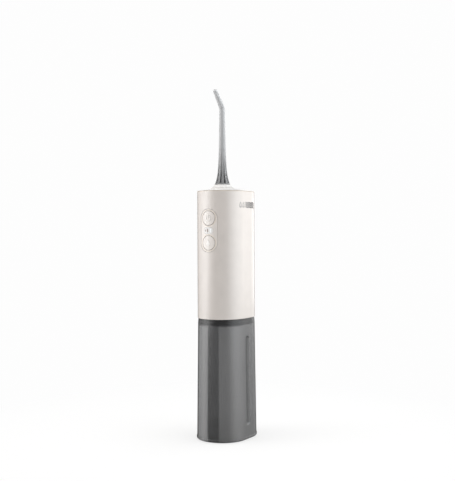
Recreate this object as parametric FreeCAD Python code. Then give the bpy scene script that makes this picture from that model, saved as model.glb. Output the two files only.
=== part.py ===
"""Cordless water flosser: a handset with a piston pump, a swivelling jet nozzle and a lift-off water tank.

Millimetres. +Z is up, -Y is the front (the side with the two buttons), +X is the right-hand side.
The origin is the middle of the foot pad's underside. Every plan outline is a stadium: two round
ends of a given radius, whose centres lie HALF_GAP in front of and behind the origin.
"""

import FreeCAD, Part
import math
import os

V = FreeCAD.Vector
X_AXIS, Y_AXIS, Z_AXIS = V(1, 0, 0), V(0, 1, 0), V(0, 0, 1)

# ---- driving dimensions ------------------------------------------------------------------------
HALF_GAP = 6.5            # from the origin to the centre of each round end
HOUSING_R = 21.0          # end radius of the handset, so it is 42 wide and 55 deep
HOUSING_WALL = 2.0
HOUSING_INNER_R = HOUSING_R - HOUSING_WALL
SEAM_Z = 102.3            # lower edge of the handset
HOUSING_TOP_Z = 209.7

TANK_TOP_Z = 102.1
TANK_FLOOR_Z = 2.6
TANK_TOP_R = 20.7
TANK_FOOT_R = 21.9
TANK_WALL = 2.0
TANK_MOUTH_Z = 96.0       # above this height the tank's inner wall is upright
TANK_MOUTH_R = TANK_TOP_R - TANK_WALL

FOOT_Z = 0.4              # underside of the tank's base, above the foot pad's underside
BASE_FLANGE_R = 22.25

SHOULDER_Z = 96.5         # from here up the tank's outside curves inward
SHOULDER_INSET = 0.3

GROOVE_WIDTH = 6.0        # upright round-bottomed finger groove on each side of the tank
GROOVE_LOW_Z, GROOVE_HIGH_Z = 12.3, 87.5
GROOVE_DEPTH = 1.0

DOOR_W, DOOR_H, DOOR_CORNER = 26.0, 34.0, 5.0
DOOR_Z = 31.0             # centre of the filler door
FILLER_W, FILLER_H, FILLER_CORNER = 20.0, 28.0, 3.5
DOOR_THICK = 1.0
DOOR_POCKET = 1.25        # depth of the pocket that the door closes into
DOOR_HINGE_Z = 50.9
DOOR_HINGE_STANDOFF = 0.5
KNUCKLE_R, HINGE_PIN_R = 1.5, 0.7

NOZZLE_Y = -5.5           # the jet, its socket and the pump share this axis, at x = 0
NOZZLE_BASE_Z = 215.7
NOZZLE_BEND_Z = 281.6     # where the straight tube's axis meets the tip's axis
NOZZLE_TIP_LENGTH = 17.6  # from there to the outlet
NOZZLE_BEND_DEG = 40.0
NOZZLE_BEND_R = 7.0
NOZZLE_BORE_R = 1.0
RIB_COUNT = 10
STEM_R = 2.5
STEM_BOTTOM_Z = 192.3

PANEL_Z = 176.5           # centre of the control panel
PANEL_W, PANEL_H = 16.4, 35.9
BUTTON_PITCH = 20.6
BUTTON_R = 6.0
BUTTON_GAP = 0.35
ICON_RISE = 0.28          # how far the signs stand above the buttons
LIGHT_X = (-2.95, -0.75, 2.1)   # the three indicator marks, left to right

DOME_TOP_Z = 212.4
DOME_R = 170.0

PLUG_R = 18.4             # bulkhead's plug in the tank's mouth
PLUG_BOTTOM_Z = 97.3
BULKHEAD_TOP_Z = 107.0
SUCTION_X, SUCTION_Y = -14.2, 2.5

MOTOR_Z = 122.0
GEAR_MODULE = 0.5
PINION_TEETH, GEAR_TEETH = 14, 42
GEAR_Z = MOTOR_Z + GEAR_MODULE * (PINION_TEETH + GEAR_TEETH) / 2
CRANK_THROW = 2.0
ROLLER_R = 1.6
YOKE_FRONT_Y, YOKE_BACK_Y = -7.0, -4.0

BARREL_LOW_Z, BARREL_TOP_Z = 154.1, 168.2
PISTON_R = 3.5
HEAD_TOP_Z = 184.0
INLET_Z = 170.2

BATTERY_R, BATTERY_LENGTH, BATTERY_Y = 7.1, 50.0, 17.3
BATTERY_LOW_Z = 110.0

BOARD_Y = -19.6           # front face of the main circuit board
BOARD_SCREW_X = (-10.0, 10.0)
BOARD_SCREW_Z = (157.5, 195.0)
MOTOR_SCREW_X = (-6.6, 6.6)
BARREL_SCREW_X = (-8.0, 8.0)
PUMP_SCREW_Y = (NOZZLE_Y - 5.6, NOZZLE_Y + 5.6)
LEAD_Z = 161.3            # height at which the battery leads run round the handset
LEAD_R = 0.5
PORT_Z = 168.0
COVER_HINGE_Y = 26.9      # axis of the roll that the charging cover swings on
COVER_HINGE_Z = PORT_Z + 4.05
COVER_ROLL_R = 0.6
RELEASE_Z = 202.0
RELEASE_TRAVEL = 2.0

FRONT_SPAN = (-32.0, -15.0)   # from outside the front wall to inside it, along Y
BACK_SPAN = (15.0, 32.0)      # from inside the back wall to outside it

parts = {}


# ---- helpers -----------------------------------------------------------------------------------
def box(x0, x1, y0, y1, z0, z1):
    return Part.makeBox(x1 - x0, y1 - y0, z1 - z0, V(x0, y0, z0))


def cyl(r, start, length, axis=Z_AXIS):
    return Part.makeCylinder(r, length, V(*start), axis)


def ring(r_out, r_in, start, length, axis=Z_AXIS):
    return cyl(r_out, start, length, axis).cut(cyl(r_in, start, length, axis))


def fuse(*shapes):
    """One clean solid from overlapping shapes."""
    return shapes[0].fuse(list(shapes[1:])).removeSplitter()


def stadium(r, z0, z1):
    """Upright-walled block with a stadium outline of end radius r."""
    return tapered_stadium(r, z0, r, z1)


def tapered_stadium(r0, z0, r1, z1):
    """Block whose end radius changes evenly from r0 at z0 to r1 at z1."""
    height = z1 - z0
    middle = Part.Face(Part.makePolygon([V(-r0, -HALF_GAP, z0), V(r0, -HALF_GAP, z0),
                                         V(r1, -HALF_GAP, z1), V(-r1, -HALF_GAP, z1),
                                         V(-r0, -HALF_GAP, z0)])).extrude(V(0, 2 * HALF_GAP, 0))
    ends = []
    for turn in (0, 180):
        if abs(r0 - r1) < 1e-9:
            end = Part.makeCylinder(r0, height, V(0, HALF_GAP, z0), Z_AXIS, 180)
        else:
            end = Part.makeCone(r0, r1, height, V(0, HALF_GAP, z0), Z_AXIS, 180)
        end.rotate(V(0, 0, 0), Z_AXIS, turn)
        ends.append(end)
    return fuse(middle, *ends)


def crowned_stadium(r_low, r_mid, r_high, z0, z1):
    """Block whose wall is an arc through three end radii: at z0, half-way up and at z1."""
    wall = Part.Arc(V(r_low, 0, z0), V(r_mid, 0, (z0 + z1) / 2), V(r_high, 0, z1)).toShape()
    rest = Part.makePolygon([V(r_high, 0, z1), V(0, 0, z1), V(0, 0, z0), V(r_low, 0, z0)])
    half = Part.Face(Part.Wire([wall, *rest.Edges]))
    end = half.revolve(V(0, 0, 0), Z_AXIS, 180)
    end.translate(V(0, HALF_GAP, 0))
    half.translate(V(0, -HALF_GAP, 0))
    flank = half.extrude(V(0, 2 * HALF_GAP, 0))
    pieces = []
    for shape in (end, flank):
        turned = shape.copy()
        turned.rotate(V(0, 0, 0), Z_AXIS, 180)
        pieces += [shape, turned]
    return fuse(*pieces)


def rounded_face(width, height, corner):
    """Rounded rectangle in the XY plane, centred on the origin."""
    corner = min(corner, width / 2, height / 2)
    a, b = width / 2 - corner, height / 2 - corner
    k = corner * math.sqrt(0.5)
    edges = []
    corners = [(a, b, 1, 1), (-a, b, -1, 1), (-a, -b, -1, -1), (a, -b, 1, -1)]
    ends = []
    for cx, cy, sx, sy in corners:
        on_x, on_y = V(cx + sx * corner, cy, 0), V(cx, cy + sy * corner, 0)
        first, last = (on_x, on_y) if sx * sy > 0 else (on_y, on_x)
        edges.append(Part.Arc(first, V(cx + sx * k, cy + sy * k, 0), last).toShape())
        ends.append((first, last))
    for i in range(4):
        start, finish = ends[i][1], ends[(i + 1) % 4][0]
        if start.distanceToPoint(finish) > 1e-6:
            edges.append(Part.LineSegment(start, finish).toShape())
    return Part.Face(Part.Wire(Part.__sortEdges__(edges)))


def slab(width, height, corner, y0, y1, z, x=0.0):
    """Rounded rectangle in the XZ plane, centred on (x, z) and filled from y0 to y1."""
    solid = rounded_face(width, height, corner).extrude(V(0, 0, y1 - y0))
    solid.rotate(V(0, 0, 0), X_AXIS, 90)
    solid.translate(V(x, y1, z))
    return solid


def revolve(points, axis_y=NOZZLE_Y, degrees=360):
    """Solid of revolution about the upright axis at y = axis_y, from (radius, z) corners."""
    outline = [V(r, axis_y, z) for r, z in points]
    face = Part.Face(Part.makePolygon(outline + [outline[0]]))
    return face.revolve(V(0, axis_y, 0), Z_AXIS, degrees)


def torus(major, minor, centre, axis=Z_AXIS):
    return Part.makeTorus(major, minor, V(*centre), axis)


def tank_radius(z):
    """End radius of the tank's outer wall at height z."""
    share = (z - TANK_FLOOR_Z) / (TANK_TOP_Z - TANK_FLOOR_Z)
    return TANK_FOOT_R + (TANK_TOP_R - TANK_FOOT_R) * share


def tank_form(inset, z0=TANK_FLOOR_Z, z1=TANK_TOP_Z):
    """The tank's outer form, shrunk inward by inset."""
    return tapered_stadium(tank_radius(z0) - inset, z0, tank_radius(z1) - inset, z1)


def tank_skin(outer_inset, inner_inset, z0, z1):
    """The layer of the tank's form between two insets."""
    return tank_form(outer_inset, z0, z1).cut(tank_form(inner_inset, z0, z1))


def housing_skin(outer_inset, inner_inset, z0, z1):
    """The layer of the handset's form between two insets."""
    return stadium(HOUSING_R - outer_inset, z0, z1).cut(stadium(HOUSING_R - inner_inset, z0, z1))


def coil(r_mid, wire_r, pitch, length, start, axis=Z_AXIS):
    """Helical compression spring."""
    helix = Part.makeHelix(pitch, length - 2 * wire_r, r_mid)
    profile = Part.Wire(Part.makeCircle(wire_r, V(r_mid, 0, 0), Y_AXIS))
    solid = Part.Wire(helix).makePipeShell([profile], True, True)
    solid.translate(V(0, 0, wire_r))
    if axis is Y_AXIS:
        solid.rotate(V(0, 0, 0), X_AXIS, -90)
    solid.translate(V(*start))
    return solid


def lead(points, r, bend):
    """Round wire or hose along straight runs joined by tangent arcs of radius bend."""
    pts = [V(*p) for p in points]
    edges, here = [], pts[0]
    for before, corner, after in zip(pts, pts[1:], pts[2:]):
        u, w = (corner - before).normalize(), (after - corner).normalize()
        turn = math.acos(max(-1.0, min(1.0, u.dot(w))))
        setback = bend * math.tan(turn / 2)
        start, finish = corner - u * setback, corner + w * setback
        inward = (w - u).normalize()
        middle = corner + inward * (bend / math.cos(turn / 2) - bend)
        edges.append(Part.LineSegment(here, start).toShape())
        edges.append(Part.Arc(start, middle, finish).toShape())
        here = finish
    edges.append(Part.LineSegment(here, pts[-1]).toShape())
    path = Part.Wire(edges)
    profile = Part.Wire(Part.makeCircle(r, pts[0], pts[1] - pts[0]))
    return path.makePipeShell([profile], True, False)


def at_ends(x, y):
    """The four points (+-x, +-y)."""
    return [(sx * x, sy * y) for sx in (-1, 1) for sy in (-1, 1)]


def screw(x, y, head_z, length, shank_r, head_r, head_h, up=True):
    """Screw with a domed head at head_z and its shank above (up) or below the head."""
    way = Z_AXIS if up else -Z_AXIS
    body = cyl(head_r, (x, y, head_z), head_h, way)
    body = body.makeFillet(head_h * 0.45, [e for e in body.Edges if abs(e.BoundBox.ZMax - head_z) < 1e-6
                                           and abs(e.BoundBox.ZMin - head_z) < 1e-6])
    socket = cyl(head_r * 0.42, (x, y, head_z), head_h * 0.55, way)
    shank = cyl(shank_r, (x, y, head_z), length, way)
    shank = shank.cut(cyl(shank_r, (x, y, head_z), head_h * 0.55, way))
    return body.cut(socket).fuse(shank).removeSplitter()


# ---- tank --------------------------------------------------------------------------------------
def door_axis_y():
    return HALF_GAP + tank_radius(DOOR_HINGE_Z) + DOOR_HINGE_STANDOFF


def side_groove(side):
    """Cutter for the finger groove on the +X (side = 1) or -X (side = -1) wall, tilted with the wall."""
    r = (GROOVE_WIDTH ** 2 / 4 + GROOVE_DEPTH ** 2) / (2 * GROOVE_DEPTH)
    half = (GROOVE_HIGH_Z - GROOVE_LOW_Z - GROOVE_WIDTH) / 2
    k = r * math.sqrt(0.5)
    edges = [Part.Arc(V(0, 0, -half - r), V(k, 0, -half - k), V(r, 0, -half)).toShape(),
             Part.LineSegment(V(r, 0, -half), V(r, 0, half)).toShape(),
             Part.Arc(V(r, 0, half), V(k, 0, half + k), V(0, 0, half + r)).toShape(),
             Part.LineSegment(V(0, 0, half + r), V(0, 0, -half - r)).toShape()]
    cutter = Part.Face(Part.Wire(edges)).revolve(V(0, 0, 0), Z_AXIS, 360)
    tilt = math.degrees(math.atan((TANK_FOOT_R - TANK_TOP_R) / (TANK_TOP_Z - TANK_FLOOR_Z)))
    cutter.rotate(V(0, 0, 0), Y_AXIS, -tilt)
    centre_z = (GROOVE_HIGH_Z + GROOVE_LOW_Z) / 2
    cutter.translate(V(tank_radius(centre_z) + r - GROOVE_DEPTH, 0, centre_z))
    if side < 0:
        cutter.rotate(V(0, 0, 0), Z_AXIS, 180)
    return cutter


def make_tank():
    inner = fuse(tapered_stadium(tank_radius(TANK_FLOOR_Z) - TANK_WALL, TANK_FLOOR_Z,
                                 TANK_MOUTH_R, TANK_MOUTH_Z),
                 stadium(TANK_MOUTH_R, TANK_MOUTH_Z, TANK_TOP_Z))
    foot_r, top_r = tank_radius(SHOULDER_Z), TANK_TOP_R - SHOULDER_INSET
    middle_r = (foot_r + top_r) / 2 + SHOULDER_INSET / 4
    shoulder = crowned_stadium(foot_r, middle_r, top_r, SHOULDER_Z, TANK_TOP_Z)
    shell = fuse(tank_form(0, TANK_FLOOR_Z, SHOULDER_Z), shoulder).cut(inner)
    for side in (1, -1):
        shell = shell.cut(side_groove(side))
    pocket = tank_skin(-1.0, DOOR_POCKET, TANK_FLOOR_Z + 1, DOOR_Z + DOOR_H)
    notch = slab(10, 6, 2.4, *BACK_SPAN, DOOR_Z - DOOR_H / 2 - 0.4)
    outline = slab(DOOR_W + 0.5, DOOR_H + 0.5, DOOR_CORNER + 0.25, *BACK_SPAN, DOOR_Z).fuse(notch)
    shell = shell.cut(pocket.common(outline))
    shell = shell.cut(slab(FILLER_W, FILLER_H, FILLER_CORNER, *BACK_SPAN, DOOR_Z))
    axis_y, axis_z = door_axis_y(), DOOR_HINGE_Z
    for x0, x1 in ((-7.6, -4.8), (4.8, 7.6)):
        ear = cyl(KNUCKLE_R, (x0, axis_y, axis_z), x1 - x0, X_AXIS)
        web = box(x0, x1, 25.9, axis_y, axis_z - KNUCKLE_R, axis_z + KNUCKLE_R)
        shell = shell.fuse([ear, web])
    shell = shell.cut(cyl(HINGE_PIN_R + 0.02, (-8, axis_y, axis_z), 16, X_AXIS))
    shell = shell.cut(cyl(KNUCKLE_R + 0.25, (-4.8, axis_y, axis_z), 9.6, X_AXIS))
    parts["tank_shell"] = shell.removeSplitter()
    parts["door_hinge_pin"] = cyl(HINGE_PIN_R, (-7.4, axis_y, axis_z), 14.8, X_AXIS)


def make_tank_base():
    flange = stadium(BASE_FLANGE_R, FOOT_Z, TANK_FLOOR_Z)
    low = [e for e in flange.Edges if e.BoundBox.ZMax < FOOT_Z + 1e-4]
    flange = flange.makeFillet(0.9, low)
    high = [e for e in flange.Edges if e.BoundBox.ZMin > TANK_FLOOR_Z - 1e-4]
    flange = flange.makeFillet(0.35, high)
    rim_r = TANK_FOOT_R - TANK_WALL - 0.12
    rim = stadium(rim_r, TANK_FLOOR_Z - 0.2, 4.6).cut(stadium(rim_r - 1.8, TANK_FLOOR_Z, 4.6))
    base = flange.fuse(rim).cut(stadium(18.0, FOOT_Z, 1.25))
    parts["tank_base"] = base.removeSplitter()
    pad = stadium(17.9, 0, 1.2)
    pad = pad.makeFillet(0.3, [e for e in pad.Edges if e.BoundBox.ZMax < 1e-4])
    parts["foot_pad"] = pad


def make_filler_door():
    low, high = DOOR_Z - DOOR_H / 2 - 1, DOOR_Z + DOOR_H / 2 + 1
    plate = tank_skin(0, DOOR_THICK, low, high).common(slab(DOOR_W, DOOR_H, DOOR_CORNER, *BACK_SPAN, DOOR_Z))
    lip_w, lip_h = FILLER_W - 1.0, FILLER_H - 1.0
    lip_outline = slab(lip_w, lip_h, 3.0, *BACK_SPAN, DOOR_Z)
    lip_outline = lip_outline.cut(slab(lip_w - 2.6, lip_h - 2.6, 1.7, *BACK_SPAN, DOOR_Z))
    lip = tank_skin(DOOR_THICK - 0.1, 2.6, low, high).common(lip_outline)
    tab = tank_skin(-0.9, 0.5, low, high).common(slab(9, 1.4, 0.6, *BACK_SPAN, DOOR_Z - DOOR_H / 2 + 1.6))
    axis_y, axis_z = door_axis_y(), DOOR_HINGE_Z
    knuckle = cyl(KNUCKLE_R, (-4.6, axis_y, axis_z), 9.2, X_AXIS)
    strap = box(-4.6, 4.6, axis_y - 0.25, axis_y + KNUCKLE_R, 45.5, axis_z)
    foot = box(-4.6, 4.6, axis_y - 1.2, axis_y + KNUCKLE_R, 45.5, 47.9)
    door = plate.fuse([lip, tab, knuckle, strap, foot])
    door = door.cut(cyl(HINGE_PIN_R + 0.06, (-5, axis_y, axis_z), 10, X_AXIS))
    parts["filler_door"] = door.removeSplitter()
    seal_outline = slab(DOOR_W - 1.2, DOOR_H - 1.2, 4.4, *BACK_SPAN, DOOR_Z)
    seal_outline = seal_outline.cut(slab(FILLER_W + 0.4, FILLER_H + 0.4, 3.7, *BACK_SPAN, DOOR_Z))
    parts["filler_seal"] = tank_skin(DOOR_THICK + 0.01, DOOR_THICK + 0.2, low, high).common(seal_outline)


# ---- handset shell -----------------------------------------------------------------------------
def boss_points():
    """Where the four housing screws go."""
    reach = 15.6
    angle = math.radians(30)
    return at_ends(reach * math.cos(angle), HALF_GAP + reach * math.sin(angle))


def make_housing():
    shell = stadium(HOUSING_R, SEAM_Z, HOUSING_TOP_Z)
    rims = [e for e in shell.Edges if e.BoundBox.ZLength < 1e-4]
    shell = shell.makeFillet(0.35, rims)
    shell = shell.cut(stadium(HOUSING_INNER_R, SEAM_Z, HOUSING_TOP_Z))
    pocket = housing_skin(-1.0, 1.0, PANEL_Z - 25, PANEL_Z + 25)
    pocket = pocket.common(slab(PANEL_W + 0.5, PANEL_H + 0.5, PANEL_W, *FRONT_SPAN, PANEL_Z))
    shell = shell.cut(pocket)
    shell = shell.cut(slab(PANEL_W - 1.6, PANEL_H - 1.6, PANEL_W, *FRONT_SPAN, PANEL_Z))
    shell = shell.cut(slab(9.4, 6.4, 2.2, *BACK_SPAN, RELEASE_Z))
    cover_pocket = housing_skin(-1.0, 1.0, PORT_Z - 10, PORT_Z + 10)
    cover_pocket = cover_pocket.common(slab(14.6, 12.2, 1.5, *BACK_SPAN, PORT_Z + 1.75))
    shell = shell.cut(cover_pocket)
    shell = shell.cut(cyl(COVER_ROLL_R + 0.1, (-4.8, COVER_HINGE_Y, COVER_HINGE_Z), 9.6, X_AXIS))
    shell = shell.cut(slab(9.6, 3.9, 1.9, *BACK_SPAN, PORT_Z))
    shell = shell.cut(cyl(0.9, (0, 20, PORT_Z + 5.9), 9, Y_AXIS))
    for x, y in boss_points():
        boss = cyl(2.2, (x, y, BULKHEAD_TOP_Z + 0.2), 12)
        end_y = math.copysign(HALF_GAP, y)
        out = V(x, y - end_y, 0).normalize()
        rib = box(0, 4.2, -0.8, 0.8, BULKHEAD_TOP_Z + 0.2, BULKHEAD_TOP_Z + 12.2)
        rib.rotate(V(0, 0, 0), Z_AXIS, math.degrees(math.atan2(out.y, out.x)))
        rib.translate(V(x, y, 0))
        shell = shell.fuse([boss, rib.common(stadium(HOUSING_INNER_R + 0.5, SEAM_Z, HOUSING_TOP_Z))])
        shell = shell.cut(cyl(1.0, (x, y, BULKHEAD_TOP_Z), 10.5))
    parts["main_housing"] = shell.removeSplitter()


def make_top_cap():
    edge_z = HOUSING_TOP_Z + 0.12
    cap = stadium(HOUSING_R - 0.1, edge_z, DOME_TOP_Z + 2)
    dome = Part.makeSphere(DOME_R, V(0, 0, DOME_TOP_Z - DOME_R))
    cap = cap.common(dome)
    top_rim = [e for e in cap.Edges if e.BoundBox.ZMin > edge_z + 0.05]
    cap = cap.makeFillet(0.25, top_rim)
    inner = stadium(HOUSING_INNER_R - 1.6, edge_z - 4, DOME_TOP_Z + 2)
    inner = inner.common(Part.makeSphere(DOME_R - 1.7, V(0, 0, DOME_TOP_Z - DOME_R)))
    spigot = stadium(HOUSING_INNER_R - 0.1, edge_z - 3, edge_z + 0.2)
    cap = cap.fuse(spigot).cut(inner)
    plateau = revolve([(0, 209.0), (6.5, 209.0), (6.5, 210.9), (11.6, 211.3), (10.3, 212.45), (0, 212.45)])
    seat = box(-3, 3, 15.9, 17.3, 203.0, 211.6)
    cap = cap.fuse([plateau, seat.common(stadium(HOUSING_R - 1, 200, 211.7))])
    cap = cap.cut(cyl(4.37, (0, NOZZLE_Y, 205), 10))
    parts["top_cap"] = cap.removeSplitter()


def panel_piece(outline, outer_inset, inner_inset):
    """Curved plate that follows the front of the housing inside an XZ outline."""
    return housing_skin(outer_inset, inner_inset, PANEL_Z - 25, PANEL_Z + 25).common(outline)


def make_panel():
    outline = slab(PANEL_W, PANEL_H, PANEL_W, *FRONT_SPAN, PANEL_Z)
    bezel = panel_piece(outline, 0.12, 0.95)
    for sign in (1, -1):
        hole = cyl(BUTTON_R + BUTTON_GAP, (0, -32, PANEL_Z + sign * BUTTON_PITCH / 2), 20, Y_AXIS)
        bezel = bezel.cut(hole)
    bezel = bezel.cut(slab(9.5, 5.9, 2.95, *FRONT_SPAN, PANEL_Z))
    parts["control_bezel"] = bezel
    lens = panel_piece(slab(9.3, 5.7, 2.85, *FRONT_SPAN, PANEL_Z), 0.12, 1.6)
    pipes = []
    for x, width, height in zip(LIGHT_X, (1.1, 1.3, 1.5), (1.7, 2.6, 3.6)):
        lens = lens.cut(slab(width + 0.08, height + 0.08, 0.55, *FRONT_SPAN, PANEL_Z, x))
        pipes.append(panel_piece(slab(width, height, 0.5, *FRONT_SPAN, PANEL_Z, x), 0.14, 3.4))
    parts["indicator_lens"] = lens
    parts["light_pipes"] = Part.makeCompound(pipes)


def power_icon(z):
    """Broken ring with an upright bar: the standby sign."""
    sign = ring(2.5, 1.9, (0, -32, z), 20, Y_AXIS).cut(box(-1.2, 1.2, -33, -10, z, z + 4))
    return sign.fuse(slab(0.65, 2.7, 0.3, -32, -12, z + 1.5))


def drop_icon(z):
    """Water drop: a round bowl under two arcs that meet in a point."""
    bowl, tip, low = 1.75, 2.9, -0.75
    angle = math.radians(28)
    shoulder_x, shoulder_z = bowl * math.cos(angle), low + bowl * math.sin(angle)
    right, left, top = V(shoulder_x, 0, shoulder_z), V(-shoulder_x, 0, shoulder_z), V(0, 0, tip)
    edges = [Part.Arc(left, V(0, 0, low - bowl), right).toShape(),
             Part.Arc(right, V(0.62, 0, 1.55), top).toShape(),
             Part.Arc(top, V(-0.62, 0, 1.55), left).toShape()]
    face = Part.Face(Part.Wire(edges))
    drop = face.extrude(V(0, -20, 0))
    drop.translate(V(0, -12, z))
    return drop


def make_button(name, z, icon):
    cap = panel_piece(cyl(BUTTON_R, (0, -32, z), 20, Y_AXIS), 0.0, 1.6)
    rim = [e for e in cap.Edges if e.BoundBox.YMax < -(HALF_GAP + math.sqrt(HOUSING_R ** 2 - 37) - 0.3)
           and e.Length > 5]
    cap = cap.makeFillet(0.3, rim)
    flange = panel_piece(cyl(6.75, (0, -32, z), 20, Y_AXIS), 1.15, 1.75)
    raised = panel_piece(icon, -ICON_RISE, 0.4)
    stem = cyl(1.6, (0, -26.3, z), 2.78, Y_AXIS)
    parts[name] = cap.fuse([flange, raised, stem]).removeSplitter()


# ---- handset inside ----------------------------------------------------------------------------
def make_chassis():
    gear_y0, back_y0, back_y1 = 1.2, 7.0, 8.6
    body = box(-11.9, 14, back_y0, back_y1, 107.2, 158)
    adds = [
        box(-10.8, 10.8, -20, back_y1, 107.2, 109.2),
        box(-10.8, 10.8, -0.8, 0.8, 107.2, 132),
        box(-10.5, -8.5, 0, back_y0 + 0.5, 107.2, 116.5),
        box(8.5, 10.5, 0, back_y0 + 0.5, 107.2, 116.5),
        box(-6, -4, -19.5, 0, 107.2, 114.9),
        box(4, 6, -19.5, 0, 107.2, 114.9),
        cyl(4.2, (0, 5.5, GEAR_Z), 3.1, Y_AXIS),
        box(-11.9, 12.5, -13, back_y1, 152, 154),
        box(-11.9, -10.3, 0, back_y1, 148, 154),
        box(10.9, 12.5, 0, back_y1, 148, 154),
        box(-5, 5, back_y0, back_y1, 150, 190),
        box(-5, 5, back_y1 - 0.5, 15.0, 163.0, 165.0),
        box(-5, 5, back_y1 - 0.5, 15.0, 175.0, 177.0),
        box(-5, 5, 13.4, 15.0, 163.0, 177.0),
        box(7.6, 8.8, back_y1 - 0.5, 17, 121, 156),
        box(-8.8, -7.6, back_y1 - 0.5, 17, 121, 156),
    ]
    for side in (-1, 1):
        x0, x1 = sorted((side * 6.75, side * 8.25))
        adds.append(box(x0, x1, -7.6, -3.4, 134.5, 152.5))
        x0, x1 = sorted((side * 8.8, side * 11.2))
        adds.append(box(x0, x1, BOARD_Y + 1.3, -12.5, 152, 154))
        adds.append(box(x0, x1, BOARD_Y + 1.3, BOARD_Y + 2.7, 152, 197.5))
    body = body.fuse(adds)
    body = body.cut(box(-20, -11.0, -8, 6, 106, 160))
    body = body.cut(cyl(3.0, (0, 5, GEAR_Z), 5, Y_AXIS))
    body = body.cut(cyl(3.15, (0, -1, MOTOR_Z), 3, Y_AXIS))
    body = body.cut(cyl(4.2, (0, NOZZLE_Y, 150), 6))
    for x in MOTOR_SCREW_X:
        body = body.cut(cyl(1.05, (x, -1, MOTOR_Z), 3, Y_AXIS))
    for x in BARREL_SCREW_X:
        body = body.cut(cyl(0.85, (x, NOZZLE_Y, 151), 4))
    for x in BOARD_SCREW_X:
        for z in BOARD_SCREW_Z:
            body = body.cut(cyl(0.75, (x, BOARD_Y, z), 4, Y_AXIS))
    parts["chassis"] = body.removeSplitter()


def make_bulkhead():
    plug = stadium(PLUG_R, PLUG_BOTTOM_Z, SEAM_Z + 0.1)
    low = [e for e in plug.Edges if e.BoundBox.ZMax < PLUG_BOTTOM_Z + 1e-4]
    plug = plug.makeFillet(0.5, low)
    upper = stadium(HOUSING_INNER_R - 0.15, SEAM_Z + 0.1, BULKHEAD_TOP_Z)
    cavity = stadium(PLUG_R - 2.2, 99.8, BULKHEAD_TOP_Z)
    form = plug.fuse(upper).removeSplitter()
    post = cyl(4.0, (SUCTION_X, SUCTION_Y, 99.6), BULKHEAD_TOP_Z - 99.6)
    posts = [cyl(3.0, (x, y, 99.6), BULKHEAD_TOP_Z - 99.6) for x, y in boss_points()]
    body = form.cut(cavity).fuse([p.common(form) for p in [post, *posts]])
    body = body.cut(stadium(PLUG_R + 1, 99.5, 101.5).cut(stadium(PLUG_R - 0.9, 99.5, 101.5)))
    body = body.cut(cyl(2.95, (SUCTION_X, SUCTION_Y, 100.1), 8))
    body = body.cut(cyl(1.8, (SUCTION_X, SUCTION_Y, PLUG_BOTTOM_Z - 1), 5))
    for x, y in boss_points():
        body = body.cut(cyl(1.1, (x, y, PLUG_BOTTOM_Z - 1), 12))
        body = body.cut(cyl(2.0, (x, y, PLUG_BOTTOM_Z - 1), 2.9))
    parts["bulkhead"] = body.removeSplitter()
    seal = stadium(TANK_MOUTH_R - 0.05, 99.6, 101.4)
    rims = [e for e in seal.Edges if e.BoundBox.ZLength < 1e-4]
    seal = seal.makeFillet(0.45, rims).cut(stadium(PLUG_R - 0.88, 99, 102))
    parts["tank_seal"] = seal
    parts["housing_screws"] = Part.makeCompound(
        [screw(x, y, PLUG_BOTTOM_Z + 0.3, 19, 0.95, 1.85, 1.4) for x, y in boss_points()])


def make_suction():
    x, y = SUCTION_X, SUCTION_Y
    fitting = fuse(cyl(2.9, (x, y, 100.15), 7.3), cyl(1.7, (x, y, 91), 9.5), cyl(1.7, (x, y, 107), 5.8))
    for z in (108.6, 110.4):
        barb = Part.makeCone(2.0, 1.6, 1.4, V(x, y, z))
        fitting = fitting.fuse(barb)
    fitting = fitting.cut(cyl(0.9, (x, y, 90), 25)).cut(cyl(1.9, (x, y, 102.3), 4.4))
    parts["suction_fitting"] = fitting.removeSplitter()
    parts["inlet_ball"] = Part.makeSphere(1.45, V(x, y, 103.47))
    parts["pickup_tube"] = ring(2.5, 1.72, (x, y, 9.4), 87.7)
    cage = ring(3.6, 2.55, (x, y, 5.4), 8.2).fuse(cyl(3.6, (x, y, 5.4), 1.2)).removeSplitter()
    for k in range(8):
        slot = box(x - 0.6, x + 0.6, y, y + 5, 6.9, 9.0)
        slot.rotate(V(x, y, 0), Z_AXIS, 45 * k)
        cage = cage.cut(slot)
    parts["intake_filter"] = cage
    reach = V(0, NOZZLE_Y, 0) - V(x, y, 0)
    span = reach.Length
    way = reach.normalize()
    bend, barb_root = 6.0, 7.7
    end = V(x, y, INLET_Z) + way * (span - barb_root)
    hose = lead([(x, y, 107.7), (x, y, INLET_Z), tuple(end)], 2.55, bend)
    bore = lead([(x, y, 107.7), (x, y, INLET_Z), tuple(end)], 2.02, bend)
    parts["inlet_hose"] = hose.cut(bore)


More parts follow.
